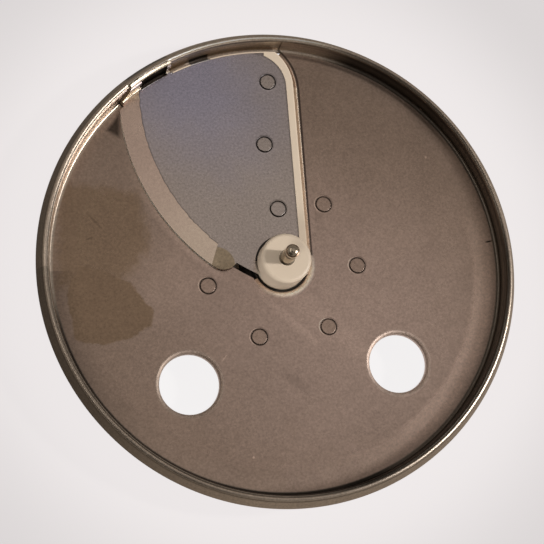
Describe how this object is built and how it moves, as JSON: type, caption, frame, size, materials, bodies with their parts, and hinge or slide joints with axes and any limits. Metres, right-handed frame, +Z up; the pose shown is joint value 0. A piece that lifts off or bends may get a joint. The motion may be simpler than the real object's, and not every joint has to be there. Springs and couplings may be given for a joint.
{
  "type": "food processor slicing disc",
  "caption": "Round slicing disc: pressed steel dish with a rolled rim and finger holes, a riveted plastic hub with a locating pin and drive socket, and a sickle blade hooked over the rim.",
  "frame": {"origin": "on the disc's axis, on the surface that the hub's boss stands on", "axes": "+Z up along the locating pin; +Y along the straight rear edge of the blade, from the hub to the rim"},
  "size_m": [0.178, 0.178, 0.0354],
  "materials": {
    "plate_steel": "satin, used",
    "cream_plastic": "semi-gloss",
    "blade_steel": "satin, ground edge",
    "rivet_steel": "satin",
    "pin_steel": "turned, worn bright"
  },
  "bodies": {
    "root": {"disc_plate": "plate_steel", "blade_carrier": "cream_plastic", "slicing_blade": "blade_steel", "blade_rivets": "rivet_steel", "hub_rivets": "rivet_steel", "locating_pin": "pin_steel"}
  },
  "joints": []
}
